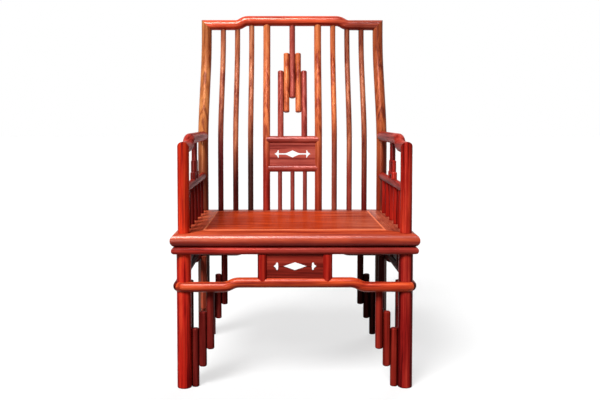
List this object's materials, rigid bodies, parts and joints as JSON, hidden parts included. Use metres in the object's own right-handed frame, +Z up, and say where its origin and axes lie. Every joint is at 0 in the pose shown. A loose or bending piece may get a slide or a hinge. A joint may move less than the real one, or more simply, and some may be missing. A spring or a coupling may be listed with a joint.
{
  "type": "armchair",
  "caption": "Low wide official's hat armchair of round wooden bars: slatted S-curved back, pierced splat panel, stepped pipe ornament and wrap-round humped stretchers.",
  "frame": {"origin": "on the floor, at the centre of the chair's outline in plan", "axes": "+Z up; +X to the right as seen from the front; +Y to the back, so the sitter faces -Y"},
  "size_m": [0.689, 0.6626, 1.1185],
  "materials": {
    "round_bars": "polished, glossy red-orange rosewood",
    "seat_frame": "polished, glossy red-brown rosewood",
    "seat_board": "polished red-orange rosewood",
    "pierced_board": "satin red-brown rosewood",
    "hidden_wood": "matt unpolished rosewood"
  },
  "bodies": {
    "root": {"apron_front": "pierced_board", "apron_left": "pierced_board", "apron_rear": "pierced_board", "apron_right": "pierced_board", "apron_struts_front": "round_bars", "apron_struts_left": "round_bars", "apron_struts_rear": "round_bars", "apron_struts_right": "round_bars", "crest_rail": "round_bars", "edge_strip_front": "seat_frame", "edge_strip_left": "seat_frame", "edge_strip_rear": "seat_frame", "edge_strip_right": "seat_frame", "front_left_leg": "round_bars", "front_left_pipes_front": "round_bars", "front_left_pipes_side": "round_bars", "front_right_leg": "round_bars", "front_right_pipes_front": "round_bars", "front_right_pipes_side": "round_bars", "left_arm": "round_bars", "left_arm_pipes": "round_bars", "left_arm_rail": "round_bars", "left_back_slat_1": "round_bars", "left_back_slat_2": "round_bars", "left_back_slat_3": "round_bars", "left_side_slats": "round_bars", "left_stile": "round_bars", "rear_left_leg": "round_bars", "rear_left_pipes_rear": "round_bars", "rear_left_pipes_side": "round_bars", "rear_right_leg": "round_bars", "rear_right_pipes_rear": "round_bars", "rear_right_pipes_side": "round_bars", "right_arm": "round_bars", "right_arm_pipes": "round_bars", "right_arm_rail": "round_bars", "right_back_slat_1": "round_bars", "right_back_slat_2": "round_bars", "right_back_slat_3": "round_bars", "right_side_slats": "round_bars", "right_stile": "round_bars", "seat_battens": "hidden_wood", "seat_front_rail": "seat_frame", "seat_left_rail": "seat_frame", "seat_panel": "seat_board", "seat_rear_rail": "seat_frame", "seat_right_rail": "seat_frame", "splat_center_pipe": "round_bars", "splat_hanging_pipes": "round_bars", "splat_lower_rail": "round_bars", "splat_panel": "pierced_board", "splat_slats": "round_bars", "splat_standing_pipes": "round_bars", "splat_upper_rail": "round_bars", "stretcher_front": "round_bars", "stretcher_left": "round_bars", "stretcher_rear": "round_bars", "stretcher_right": "round_bars"}
  },
  "joints": []
}
